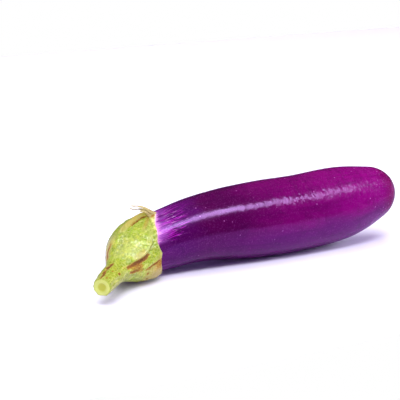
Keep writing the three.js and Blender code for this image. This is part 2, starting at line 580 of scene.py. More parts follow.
@dataclass(frozen=True)
class SkinFinish:
    """The fruit's glossy purple skin, dark along the belly and bright magenta towards the blossom end.

    Borders between colours wander along the fruit. A row of specks is (the distance between them, how
    few there are, their size as a share of it, where they start along X). Depths are millimetres.
    """

    neck: Colour = (0.062, 0.0010, 0.074)
    belly: Colour = (0.066, 0.0003, 0.048)
    middle: Colour = (0.140, 0.0003, 0.092)
    blossom: Colour = (0.210, 0.0004, 0.138)
    wine: Colour = (0.135, 0.0003, 0.050)
    # Painted shade for the underside.
    under: Colour = (0.085, 0.0004, 0.092)
    shade: Colour = (0.035, 0.0002, 0.036)
    magenta: Colour = (0.420, 0.010, 0.400)
    lilac: Colour = (0.360, 0.080, 0.460)
    pink: Colour = (0.760, 0.330, 0.700)
    speck: Colour = (0.480, 0.110, 0.420)
    # Painted sheen for the top of the neck.
    neck_top_sheen: Colour = (0.110, 0.006, 0.170)
    gloss: Colour = (0.60, 0.28, 0.88)
    wander: float = 40.0
    speck_rows: tuple[tuple[float, float, float, float], ...] = (
        (5.0, 0.22, 0.125, -200.0),
        (1.7, 0.30, 0.22, 66.0),
    )
    speck_share: float = 0.7
    wrinkle_depth: float = 0.55
    stroke_depth: float = 0.16
    grain_depth: float = 0.03

    def material(self) -> Material:
        """Builds the material.

        Returns:
            The material.
        """
        n = Nodes("purple_skin")
        for paint in (self.ground, self.clouds, self.streaks, self.specks):
            paint(n)
        n.set(
            Base_Color=n.colour, Roughness=self.roughness(n), IOR=1.5, Specular_Tint=self.gloss,
            Normal=self.relief(n),
        )
        return n.owner

    def along(self, n: Nodes) -> Socket:
        """The place along the fruit in millimetres."""
        return n.axis("X", n.place())

    def height(self, n: Nodes) -> Socket:
        """The height on the unrolled skin in millimetres, from -20 below to 20 on top."""
        return n.axis("Z", n.grain(1, 1))

    def ground(self, n: Nodes) -> None:
        """Lays the broad colours along the fruit and round it, with wandering borders.

        Args:
            n: The material's nodes.
        """
        x, height = self.along(n), self.height(n)
        wander = n.swing(n.noise(n.place(26, 14, 14)), self.wander)
        shifted = n.plus(x, wander)
        # Partly painted shade: the skin darkens from the blossom end towards the neck, partly as its own colour
        # and partly as shade laid into the colour.
        n.colour = self.neck
        for tint, start, end in ((self.belly, -85, -60), (self.middle, -42, -8), (self.blossom, -5, 55)):
            n.lay(tint, shifted, start, end)
        # Painted shade: the underside is darker and bluer, most from the middle to the blossom end.
        low = n.step(n.plus(height, n.times(wander, 0.15)), 3, -7)
        n.tint(self.under, n.times(low, n.step(x, -70, -10, 0.3, 0.85)))
        # Painted sheen: a lilac tone over the top of the neck stands in for a dim reflection.
        n.tint(self.neck_top_sheen, n.times(n.step(shifted, -55, -85), n.step(height, 9, 17, 0.0, 0.4)))
        n.lay(self.wine, n.plus(x, n.times(wander, 0.3)), 64, 78, 0.0, 0.85)

    def clouds(self, n: Nodes) -> None:
        """Darkens the skin in long streaks and blotches, and in hoops over the top.

        Args:
            n: The material's nodes.
        """
        n.lay(self.shade, n.noise(n.grain(30, 1.6), 4), 0.45, 0.72, 0.0, 0.25)
        n.lay(self.shade, n.noise(n.place(6), 5, 0.6, 0.8), 0.48, 0.74, 0.0, 0.35)
        hoops = n.step(n.noise(n.grain(4.0, 30), 1), 0.42, 0.64, 0.0, 0.14)
        n.tint(self.shade, n.times(n.step(self.height(n), 9, 14), hoops))

    def streaks(self, n: Nodes) -> None:
        """Adds the pale streaks that run out from under the calyx's rim.

        Args:
            n: The material's nodes.
        """
        past, streaked = n.trait(Trait.PAST_RIM), n.trait(Trait.STREAKED)
        faded = n.times(streaked, n.step(past, 6.0, 30.0, 1.0, 0.0))
        for tint, size, lift, start, end, full, most in (
            (self.magenta, (9, 0.55), 0.17, 0.62, 0.74, 0.5, 0.9),
            (self.pink, (6, 0.40), 0.12, 0.70, 0.80, 0.4, 0.8),
        ):
            line = n.step(n.plus(n.noise(n.grain(*size), 2), n.times(faded, lift)), start, end)
            n.tint(tint, n.times(line, n.step(faded, 0.0, full, 0.0, most)))
        broad = n.noise(n.grain(18, 2.6), 2)
        lines = n.noise(n.grain(30, 0.8), 3, 0.6)
        veil = n.times(streaked, n.step(past, 1.0, 12.0, 0.95, 0.0))
        n.tint(self.lilac, n.times(n.step(broad, 0.36, 0.60), veil))
        reach = n.plus(n.step(broad, 0.36, 0.62, 0.4, 2.2), n.step(lines, 0.38, 0.66, 0.2, 5.5))
        near = n.join("DIVIDE", past, n.plus(n.times(reach, streaked), 0.3))
        n.lay(self.pink, near, 0.25, 0.9, 0.75, 0.0)

    def specks(self, n: Nodes) -> None:
        """Adds tiny pale specks, which crowd together at the blossom end.

        Args:
            n: The material's nodes.
        """
        x = self.along(n)
        for size, few, edge, start in self.speck_rows:
            cells = n.add("TexVoronoi", Vector=n.grain(size, size), Scale=1.0).outputs
            lot = n.add("SeparateColor", Color=cells["Color"]).outputs[0]
            spot = n.times(n.step(cells["Distance"], edge * 0.4, edge, 1.0, 0.0), n.step(lot, few, few + 0.6))
            n.tint(self.speck, n.times(n.times(spot, n.step(x, start, start + 14)), self.speck_share))
        n.lay(self.speck, n.noise(n.place(0.9), 2, 0.7), 0.50, 0.72, 0.0, 0.11)
        flecks = n.step(n.noise(n.place(1.1), 2), 0.60, 0.71, 0.0, 0.62)
        n.tint(self.speck, n.times(n.step(x, 52, 80), flecks))

    def roughness(self, n: Nodes) -> Socket:
        """How rough the gloss is, softest at the neck and towards the blossom end.

        Args:
            n: The material's nodes.

        Returns:
            The roughness.
        """
        x = self.along(n)
        ends = n.plus(n.step(x, -75, -40, 0.05, 0.0), n.step(x, -10, 40, 0.0, 0.08))
        return n.plus(n.step(n.noise(n.place(12, 8, 8)), 0.3, 0.7, 0.13, 0.17), ends)

    def relief(self, n: Nodes) -> Socket:
        """Fine wrinkles across the fruit, stronger towards the blossom end.

        Args:
            n: The material's nodes.

        Returns:
            The normal.
        """
        amount = n.times(
            n.step(self.along(n), -50, 10, 0.22, 1.0), n.step(self.height(n), 4.5, 9.5, 0.12, 1.0)
        )
        wrinkles = n.bump(n.times(n.noise(n.grain(2.4, 5.0), 2), amount), self.wrinkle_depth)
        strokes = n.bump(n.times(n.noise(n.grain(1.3, 3.2), 1), amount), self.stroke_depth, wrinkles)
        return n.bump(n.noise(n.place(0.9), 2), self.grain_depth, strokes)


@dataclass(frozen=True)
class StalkFinish:
    """The calyx's and the stem's yellow-green skin, with corky scars, dry patches and a pale edge.

    Ragged is how far the scars' borders stray, as a share of their strength. Depths are millimetres.
    """

    name: str
    lime: Colour = (0.35, 0.52, 0.014)
    green: Colour = (0.21, 0.31, 0.003)
    yellow: Colour = (0.52, 0.54, 0.020)
    stem: Colour = (0.24, 0.285, 0.001)
    olive: Colour = (0.130, 0.170, 0.003)
    brown: Colour = (0.200, 0.110, 0.004)
    cream: Colour = (0.72, 0.74, 0.25)
    dry: Colour = (0.45, 0.32, 0.060)
    straw: Colour = (0.42, 0.38, 0.080)
    scab: Colour = (0.400, 0.195, 0.010)
    cork: Colour = (0.240, 0.080, 0.002)
    cork_dark: Colour = (0.100, 0.032, 0.001)
    # The rim's pale edge; its pink is partly painted light bounced from the fruit's purple skin.
    edge: Colour = (0.86, 0.60, 0.50)
    bleed: Colour = (1.0, 0.9, 0.3)
    ragged: float = 1.7
    grain_depth: float = 0.06
    pore_depth: float = 0.05

    def material(self) -> Material:
        """Builds the material.

        Returns:
            The material.
        """
        n = Nodes(self.name)
        mottle = n.noise(n.place(1.3), 4, 0.65)
        for paint in (self.ground, self.banded, self.netted):
            paint(n)
        n.lay(self.olive, mottle, 0.53, 0.66, 0.0, 0.58)
        n.lay(self.brown, n.noise(n.place(0.7), 1), 0.69, 0.77, 0.0, 0.7)
        self.dried(n)
        self.corked(n)
        # The rim's pale edge, its pink partly painted light bounced from the fruit's skin.
        n.lay(self.edge, n.trait(Trait.FROM_RIM), 0.5, 1.3, 0.92, 0.0)
        dull = n.step(n.trait(Trait.CORK), 0.1, 0.4, 0.0, 0.4)
        n.set(
            Base_Color=n.colour, Roughness=n.plus(n.step(mottle, 0.35, 0.65, 0.27, 0.36), dull),
            Normal=self.relief(n, mottle), Subsurface_Weight=0.10, Subsurface_Scale=0.0012,
            Subsurface_Radius=self.bleed,
        )
        return n.owner

    def ground(self, n: Nodes) -> None:
        """Lays the greens and yellows that flow along the stalk.

        Args:
            n: The material's nodes.
        """
        along = n.trait(Trait.ALONG)
        flow = n.noise(n.grain(4.5, 1.3), 4, 0.6, 0.6)
        n.colour = self.green
        for tint, value, *ends in (
            (self.lime, n.noise(n.place(6), 4, 0.6), 0.42, 0.60),
            (self.yellow, n.noise(n.place(3.0), 4, 0.6, 0.5), 0.48, 0.66, 0.0, 0.75),
            (self.stem, along, 5.2, 6.6, 0.0, 0.75),
            (self.green, along, 3.1, 4.5, 0.6, 0.0),
            (self.green, flow, 0.50, 0.64, 0.0, 0.60),
            (self.cream, flow, 0.46, 0.34, 0.0, 0.45),
        ):
            n.lay(tint, value, *ends)

    def banded(self, n: Nodes) -> None:
        """Adds the pale and green lines that run to the rim beside it.

        Args:
            n: The material's nodes.
        """
        lines = n.noise(n.grain(7, 0.7), 2)
        beside = n.step(n.trait(Trait.FROM_RIM), 3.0, 6.5, 1.0, 0.0)
        n.tint(self.cream, n.times(beside, n.step(lines, 0.42, 0.58, 0.0, 0.9)))
        n.tint(self.green, n.times(beside, n.step(lines, 0.46, 0.36, 0.0, 0.7)))

    def netted(self, n: Nodes) -> None:
        """Adds the fine, pale net of veins.

        Args:
            n: The material's nodes.
        """
        here = n.place(2.0)
        stir = n.add("TexNoise", Vector=here, Scale=1.3, Detail=2.0).outputs["Color"]
        bent = n.blend(0.35, here, stir, "ADD")
        veins = n.add("TexVoronoi", {"feature": "DISTANCE_TO_EDGE"}, Vector=bent, Scale=1.0)
        share = n.step(veins.outputs["Distance"], 0.02, 0.14, 0.30, 0.0)
        # Folds marked pale add cream here too: partly painted highlight on the front lobe's lip and the dome's
        # crest, and painted light on the outer side of the bend.
        n.tint(self.cream, n.join("MAXIMUM", share, n.times(n.trait(Trait.PALE), 0.85)))

    def dried(self, n: Nodes) -> None:
        """Adds the beige, half dried patches.

        Args:
            n: The material's nodes.
        """
        ragged = n.noise(n.place(2.2), 4, 0.6)
        share = n.times(n.trait(Trait.DRY), n.step(ragged, 0.34, 0.56, 0.72, 1.0))
        n.tint(n.blend(n.step(ragged, 0.40, 0.60), self.dry, self.straw), share)

    def corked(self, n: Nodes) -> None:
        """Adds the brown corky scars, dark where they are deepest.

        Args:
            n: The material's nodes.
        """
        cork = n.trait(Trait.CORK)
        shift = n.swing(n.noise(n.place(0.8), 4, 0.65), self.ragged)
        marked = n.plus(cork, n.times(shift, n.step(cork, 0.0, 0.15)))
        n.lay(self.scab, marked, 0.14, 0.34, 0.0, 0.75)
        n.lay(self.cork, marked, 0.36, 0.62, 0.0, 0.95)
        n.lay(self.cork_dark, marked, 0.78, 1.05, 0.0, 0.85)

    def relief(self, n: Nodes, mottle: Socket) -> Socket:
        """Fine pores, and grain over them."""
        return n.bump(n.noise(n.grain(3.5, 0.8)), self.grain_depth, n.bump(mottle, self.pore_depth))


@dataclass(frozen=True)
class CutFinish:
    """The stem's cut end: a pale ring round a darker pith, inside the green rind."""

    rind: Colour = (0.33, 0.42, 0.016)
    ring: Colour = (0.64, 0.73, 0.15)
    pith: Colour = (0.49, 0.53, 0.035)
    bleed: Colour = (1.0, 0.9, 0.3)
    waver: float = 0.16
    fibre_depth: float = 0.15

    def material(self) -> Material:
        """Builds the material.

        Returns:
            The material.
        """
        n = Nodes("cut_stem_end")
        spread = n.plus(n.trait(Trait.SPREAD), n.swing(n.noise(n.place(1.6)), self.waver))
        fibres = n.noise(n.place(0.5), 2)
        n.colour = self.pith
        n.lay(self.ring, spread, 0.34, 0.56)
        n.lay(self.rind, spread, 0.80, 0.98)
        n.lay(self.pith, fibres, 0.5, 0.75, 0.0, 0.35)
        n.set(
            Base_Color=n.colour, Roughness=0.5, Normal=n.bump(fibres, self.fibre_depth), Subsurface_Weight=0.15,
            Subsurface_Scale=0.0015, Subsurface_Radius=self.bleed,
        )
        return n.owner


@dataclass(frozen=True)
class DryTipFinish:
    """The straw-coloured, curled ends of the top lobe."""

    straw: Colour = (0.56, 0.50, 0.17)
    brown: Colour = (0.20, 0.11, 0.02)
    fibre_depth: float = 0.2

    def material(self) -> Material:
        """Builds the material.

        Returns:
            The material.
        """
        n = Nodes("dry_straw")
        fibres = n.noise(n.place(3.0, 0.5, 0.5))
        n.colour = self.straw
        n.lay(self.brown, fibres, 0.45, 0.68, 0.0, 0.85)
        n.set(Base_Color=n.colour, Roughness=0.7, Normal=n.bump(fibres, self.fibre_depth))
        return n.owner


# ---- Fruit ----


@dataclass(frozen=True)
class RoundedEnd:
    """How an end of the fruit closes: over what length, and how full it is."""

    length: float
    fullness: float
    rings: int

    def parts(self) -> Array:
        """Parts of the end's length, crowded towards its tip and stopping just short of it."""
        return np.sin((np.arange(self.rings) + 1) / (self.rings + 0.5) * math.pi / 2)

    def closing(self, past: Array) -> Array:
        """What is left of the radius at a distance past the end's start."""
        return np.sqrt(1 - np.clip(past / self.length, 0, 1) ** self.fullness)


@dataclass
class Fruit:
    """The fruit, from its neck under the calyx to its blossom end.

    A swell is (its name, the size of its lumps, its height). The search for the skin starts at widest,
    which is past it everywhere, and halves the distance left as often as halvings says.
    """

    stations: Stations = (
        (-94.0, 0.0, 17.2, 16.9),
        (-57.9, 0.0, 23.1, 20.2),
        (-21.8, 0.0, 23.4, 23.5),
        (14.3, 0.0, 23.7, 24.0),
        (50.4, 0.0, 26.7, 22.7),
        (86.5, 0.0, 32.2, 13.1),
    )
    shoulder: RoundedEnd = RoundedEnd(length=8.0, fullness=2.2, rings=7)
    blossom: RoundedEnd = RoundedEnd(length=14.0, fullness=2.4, rings=14)
    body_rings: int = 54
    sides: int = 88
    swells: tuple[tuple[str, float, float], ...] = (("long_swells", 34.0, 0.5), ("small_swells", 9.0, 0.12))
    widest: float = 40.0
    halvings: int = 24

    def __post_init__(self) -> None:
        """Lays the spine."""
        self.spine = Spine(self.stations)
        self.neck = self.stations[0][0]
        self.tip = self.stations[-1][0]
        self.spacing = self.stations[1][0] - self.neck

    def axis(self, x: Array) -> tuple[Array, Array]:
        """The height of the fruit's axis, and its skin's radius, at places along X.

        Args:
            x: The places along X.

        Returns:
            The heights and the radii.
        """
        values = self.spine.values((np.asarray(x) - self.neck) / self.spacing)
        closing = self.shoulder.closing(self.neck - x) * self.blossom.closing(x - self.tip + self.blossom.length)
        return values[..., 2], values[..., 3] * closing

    def ring_places(self) -> Array:
        """Where the rings cross X.

        Returns:
            The places, from the neck to the blossom end.
        """
        neck_end = self.neck - self.shoulder.length * self.shoulder.parts()[::-1]
        body_end = self.tip - self.blossom.length
        body = np.linspace(self.neck, body_end, self.body_rings + 1)
        return np.concatenate([neck_end, body, body_end + self.blossom.length * self.blossom.parts()])

    def build(self) -> Piece:
        """Models the fruit, and presses the flat spot that it rests on.

        Returns:
            The fruit.
        """
        x = self.ring_places()
        rings = replace(self.spine.rings((x - self.neck) / self.spacing), radius=self.axis(x)[1])
        piece = extrude_along("fruit_skin", self.sides, rings)
        apply_modifier(piece, "SUBSURF", levels=1, render_levels=1)
        for name, size, strength in self.swells:
            dent(piece, name, size, strength)
        move_points(piece, hold_above(points_of(piece), 0.0))
        shade_smooth(piece, degrees=35)
        return piece

    def radial(self, points: Array) -> tuple[Array, Array, Array]:
        """Places as seen along the fruit's axis.

        Args:
            points: The places, with x, y and z last.

        Returns:
            Their angle from the top towards -Y, their distance from the axis, and the skin's radius.
        """
        height, radius = self.axis(points[..., 0])
        rise = points[..., 2] - height
        angle = np.degrees(np.arctan2(-points[..., 1], rise))
        return angle, np.hypot(points[..., 1], rise), radius

    def reach(self, rings: Rings, degrees: Array) -> Array:
        """How far out along the rings' spokes the fruit's skin lies.

        Args:
            rings: Rings round the fruit.
            degrees: The angle of each spoke.

        Returns:
            The distances from the rings' centres.
        """
        spoke = rings.spoke(np.radians(degrees))
        inside = np.zeros(spoke.shape[:-1])
        outside = np.full(spoke.shape[:-1], self.widest)
        for _ in range(self.halvings):
            middle = (inside + outside) / 2
            _, away, radius = self.radial(rings.centre + spoke * middle[..., None])
            within = away < radius
            inside = np.where(within, middle, inside)
            outside = np.where(within, outside, middle)
        return inside


# ---- Calyx and stem ----


@dataclass(frozen=True)
class Lobe:
    """A lobe of the calyx: its angle, its half width in degrees, and its reach along the fruit."""

    angle: float
    half_width: float
    reach: float


@dataclass(frozen=True)
class Spots:
    """Places on the stalk's skin, as arrays of one shape: angle, station and the skin's radius."""

    degrees: Array
    station: Array
    radius: Array

    def past(self, angle: float, station: float) -> Array:
        """How far the spots lie round and along the skin from a place on it, in millimetres."""
        round_it = np.radians(turn_between(self.degrees, angle)) * self.radius
        return np.stack([round_it, (self.station - station) * Stalk.SPACING])


@dataclass(frozen=True)
class Fold:
    """A ridge, crease or mark that runs along a line on the stalk's skin.

    The path's places are (angle, station). Widths and heights are millimetres. The height is negative
    in a crease, and the step is how much higher the skin lies on the path's right than on its left. The
    last three are how strongly the line is marked by each trait.
    """

    path: tuple[tuple[float, float], ...]
    half_width: float
    height: float = 0.0
    step: float = 0.0
    step_width: float = 5.0
    fade: float = 0.6
    cork: float = 0.0
    dry: float = 0.0
    pale: float = 0.0

    def measure(self, spots: Spots) -> tuple[Array, Array, Array]:
        """Measures spots against the path.

        Args:
            spots: The spots.

        Returns:
            Their distance from the path, the side they are on (1 is its left), and how strong the fold
            is beside them.
        """
        nearest = np.full(spots.degrees.shape, np.inf)
        side = np.zeros(spots.degrees.shape)
        along = np.zeros(spots.degrees.shape)
        steps = len(self.path) - 1
        for i, ((angle, start), (next_angle, end)) in enumerate(zip(self.path, self.path[1:])):
            line_x = np.radians(turn_between(next_angle, angle)) * spots.radius
            line_y = (end - start) * Stalk.SPACING
            off_x, off_y = spots.past(angle, start)
            part = np.clip((off_x * line_x + off_y * line_y) / (line_x**2 + line_y**2), 0, 1)
            away_x = off_x - part * line_x
            away_y = off_y - part * line_y
            away = np.hypot(away_x, away_y)
            closer = away < nearest
            side = np.where(closer, np.sign(line_x * away_y - line_y * away_x), side)
            along = np.where(closer, (i + part) / steps, along)
            nearest = np.minimum(nearest, away)
        return nearest, side, np.sin(math.pi * along) ** self.fade

    def rise(self, spots: Spots) -> Array:
        """How far the fold lifts the skin at each spot, in millimetres.

        Args:
            spots: The spots.

        Returns:
            The rises.
        """
        away, side, strength = self.measure(spots)
        rise = self.height * strength * smooth(1 - away / self.half_width)
        shoulder = smooth(away / self.half_width) * smooth(1 - away / self.step_width)
        return rise - self.step / 2 * side * strength * shoulder

    def stain(self, spots: Spots) -> Array:
        """How strongly each spot is marked by the fold, from 0 to 1."""
        away, _, strength = self.measure(spots)
        return strength * smooth(Stalk.STAIN_SPREAD - away / self.half_width)


class Stalk:
    """The one skin that the calyx and the stem share, on one spine.

    Stations are SPACING apart. The rim lies at NOTCH between the lobes and leans by SLANT, the lobes are
    pointed by LOBE_POINT, and the stem starts at JUNCTION. CLEARANCE is the skin's least height over the
    table. A lump is (its height, its size). The last two say how finely a point's station is looked up.
    """

    SPACING = 10.0
    NOTCH = 1.65
    SLANT = 1.2
    JUNCTION = 5.5
    LOBE_POINT = 1.25
    CLEARANCE = 0.15
    STAIN_SPREAD = 1.25
    UNROLLED_RADIUS = 12.0
    LUMPS = ((0.42, 4.0), (0.20, 1.5))
    SEARCH_END = 0.2
    SEARCH_STEPS = 800

    spine = Spine(
        (
            (-76.0, 0.0, 20.5, 19.7),
            (-86.0, -0.2, 18.7, 18.8),
            (-95.3, -1.8, 18.2, 18.0),
            (-104.0, -6.9, 17.5, 17.0),
            (-112.0, -13.2, 16.4, 14.9),
            (-120.0, -20.5, 15.0, 10.4),
            (-128.0, -28.0, 13.8, 7.0),
            (-136.4, -35.8, 12.6, 6.0),
            (-144.8, -43.8, 11.4, 5.3),
        )
    )
    lobes = (
        Lobe(3, 60, 6.5),
        Lobe(91, 24, 1.6),
        Lobe(134, 24, 1.9),
        Lobe(190, 30, 7),
        Lobe(250, 30, 11),
        Lobe(308, 28, 8.5),
    )
    folds = (
        # The strip folded back along the top, and the dark crease beside it.
        Fold(((346, 1.3), (351, 2.1), (351, 2.9), (345, 3.5), (336, 3.9)), 3.0, height=1.9, fade=0.35, dry=1.0),
        Fold(((3, 1.4), (2, 1.9), (1, 2.3), (360, 2.8), (357, 3.3)), 1.1, height=-1.3, fade=0.4, cork=0.85),
        Fold(((1, 2.2), (360, 2.9), (357, 3.6)), 1.2, height=-0.9, step=1.2, cork=0.16),
        # The groove down from the top lobe's tip, and the line beside it.
        Fold(((359, 1.3), (8, 1.9), (16, 2.45), (22, 2.95), (26, 3.5)), 1.5, height=-0.7, cork=0.18, dry=0.7),
        Fold(((3, 1.1), (9, 1.55), (13, 2.0)), 1.2, height=-0.4, cork=0.50),
        # The front lobe's edge: a pale lip over a corky crease, then a thin line up to the top lobe's tip. The
        # lip's pale colour is partly painted highlight along its upper side.
        Fold(
            ((64, 5.3), (67, 4.9), (67, 4.6), (64, 4.3), (60, 4.0), (54, 3.7), (49, 3.4)),
            1.1, height=0.45, pale=0.4,
        ),
        Fold(
            ((68, 6.0), (72, 5.65), (72, 5.4), (74, 5.1), (76, 4.8), (76, 4.6), (74, 4.4), (71, 4.2),
             (67, 4.0), (63, 3.85), (57, 3.55), (54, 3.3), (50, 3.1)),
            1.8, height=-1.2, step=1.6, step_width=6.0, fade=0.45, cork=0.16,
        ),
        Fold(
            ((69, 6.05), (74, 5.65), (75, 5.4), (77, 5.1), (78, 4.8), (78, 4.6), (76, 4.4), (72, 4.15)),
            1.5, fade=0.35, cork=1.0,
        ),
        Fold(((58, 5.3), (61, 4.9), (62, 4.6), (60, 4.3)), 2.0, fade=0.4, dry=0.8),
        # The cream band between the crease and the top.
        Fold(((56, 4.05), (50, 3.75), (45, 3.4), (38, 3.0), (30, 2.7)), 2.4, fade=0.4, pale=0.38),
        Fold(
            ((66, 3.9), (60, 3.6), (54, 3.3), (45, 3.05), (33, 2.7), (21, 2.15), (11, 1.6), (4, 1.2)),
            0.9, height=-0.6, step=0.8, step_width=4.0, fade=0.3, cork=0.10,
        ),
        # The crest of the dome, lightened with cream partly as painted highlight.
        Fold(((348, 4.9), (8, 5.2), (28, 4.9), (37, 4.5), (44, 4.1)), 6.5, fade=0.4, pale=0.42),
        # The scar below the corky crease.
        Fold(((78, 5.75), (84, 5.5), (90, 5.2), (97, 4.95), (101, 4.75)), 3.4, height=0.35, cork=0.52),
        Fold(((96, 5.85), (102, 5.6), (105, 5.25), (104, 4.95)), 1.2, height=-0.35, cork=0.72),
        # The lower lobe's crease, and the dry skin round it.
        Fold(((110, 4.75), (106, 4.5), (104, 4.3), (102, 4.05), (101, 3.75), (99, 3.3), (97, 2.9)), 1.2,
             height=-0.9, step=0.8, cork=0.68),
        Fold(((97, 2.5), (104, 3.1), (112, 3.5), (122, 4.0), (126, 4.6)), 6.0, fade=0.4, dry=1.0),
        Fold(((114, 2.6), (126, 3.1), (136, 3.7), (143, 4.4)), 5.0, fade=0.4, dry=0.9),
        Fold(((101, 2.7), (105, 3.3), (112, 3.9)), 2.7, height=0.4, cork=0.50),
        Fold(((119, 4.5), (122, 4.4)), 0.9, height=-0.3, cork=0.7),
        Fold(((135, 4.3), (139, 4.15)), 0.9, height=-0.3, cork=0.6),
        # Bulges under the near side and round the far side.
        Fold(((142, 1.4), (128, 5.2)), 15.0, height=2.6),
        Fold(((262, -0.6), (262, 3.8)), 30.0, height=1.7),
        # Creases between the lobes of the far side.
        Fold(((162, 1.7), (161, 3.2), (158, 4.4)), 1.6, height=-0.9, step=0.5, cork=0.5),
        Fold(((222, 1.2), (219, 3.0), (214, 4.4)), 1.6, height=-0.8, step=0.6, cork=0.6),
        Fold(((281, 0.9), (279, 3.0), (274, 4.4)), 1.6, height=-1.0, step=0.6, cork=0.55),
        # The brownish, dotted skin on the outer side of the bend, lightened with cream as painted light where it
        # faces away from the lamps.
        Fold(((330, 3.9), (316, 4.3), (303, 4.7), (294, 5.1), (302, 5.9)), 4.0, cork=0.12, dry=0.55, pale=0.9),
        Fold(((324, 4.35), (314, 4.55), (305, 4.8), (299, 5.1), (302, 5.5), (312, 5.9)), 1.7, cork=0.58),
        # Dark brown marks on the stem.
        Fold(((357, 6.3), (353, 6.5), (350, 6.7), (347, 6.95)), 1.5, height=-0.4, fade=0.35, cork=1.3),
        Fold(((347, 6.95), (344, 7.25), (342, 7.5)), 1.1, height=-0.3, cork=0.9),
        Fold(((352, 7.25), (356, 7.5), (357, 7.7), (350, 8.1)), 0.9, height=-0.3, cork=1.1),
        Fold(((62, 6.72), (64, 6.9)), 0.9, height=-0.25, cork=1.25),
        Fold(((57, 6.1), (60, 6.2)), 0.7, height=-0.2, cork=0.7),
        Fold(((25, 6.95), (28, 7.08)), 0.6, height=-0.2, cork=0.75),
        Fold(((24, 7.65), (25, 7.85)), 0.6, height=-0.2, cork=0.6),
    )

    @classmethod
    def rim_station(cls, degrees: Array) -> Array:
        """The station of the rim at each angle, pulled towards the blossom end by the lobes.

        Args:
            degrees: The angles.

        Returns:
            The stations.
        """
        pull = [
            lobe.reach
            * np.maximum(0, 1 - np.abs(turn_between(degrees, lobe.angle)) / lobe.half_width) ** cls.LOBE_POINT
            for lobe in cls.lobes
        ]
        slant = cls.SLANT * np.sin(np.radians(degrees))
        return cls.NOTCH + slant - np.max(pull, axis=0) / cls.SPACING

    @classmethod
    def rise(cls, spots: Spots) -> Array:
        """How far all the folds lift the skin at each spot, in millimetres."""
        return sum(fold.rise(spots) for fold in cls.folds)

    @classmethod
    def lumps(cls, points: Array) -> Array:
        """Small uneven lumps in the skin at each place, in millimetres.

        Args:
            points: The places, with x, y and z last.

        Returns:
            The rises.
        """
        heights = [
            sum(height * noise.noise(Vector(point) / size) for height, size in cls.LUMPS)
            for point in points.reshape(-1, 3)
        ]
        return np.array(heights).reshape(points.shape[:-1])

    @classmethod
    def traits(cls, spots: Spots, from_rim: Array) -> dict[Trait, Array]:
        """The values that the skin's points keep.

        Args:
            spots: The points' places on the stalk.
            from_rim: Their distance from the rim in millimetres.

        Returns:
            The values by trait.
        """
        values = {trait: np.zeros(spots.degrees.shape) for trait in (Trait.CORK, Trait.DRY, Trait.PALE)}
        for fold in cls.folds:
            mark = fold.stain(spots)
            for trait, total in values.items():
                np.maximum(total, getattr(fold, trait.value) * mark, out=total)
        values[Trait.FROM_RIM] = from_rim
        values[Trait.ALONG] = spots.station
        values[Trait.UNROLLED] = unroll(spots.station * cls.SPACING, spots.degrees, cls.UNROLLED_RADIUS)
        return values

    @classmethod
    def locate(cls, points: Array) -> tuple[Array, Array]:
        """Finds places on the stalk from points near its skin.

        Args:
            points: The points, one a row.

        Returns:
            Their angles and stations.
        """
        station = np.linspace(0, cls.spine.last + cls.SEARCH_END, cls.SEARCH_STEPS)
        rings = cls.spine.rings(station)
        offsets = points[:, None, :] - rings.centre[None, :, :]
        nearest = np.argmin(np.abs(np.einsum("psk,sk->ps", offsets, rings.along)), axis=1)
        across = offsets[np.arange(len(points)), nearest]
        side, up = (np.einsum("pk,pk->p", across, way[nearest]) for way in (rings.side, rings.up))
        return np.degrees(np.arctan2(side, up)) % 360, station[nearest]


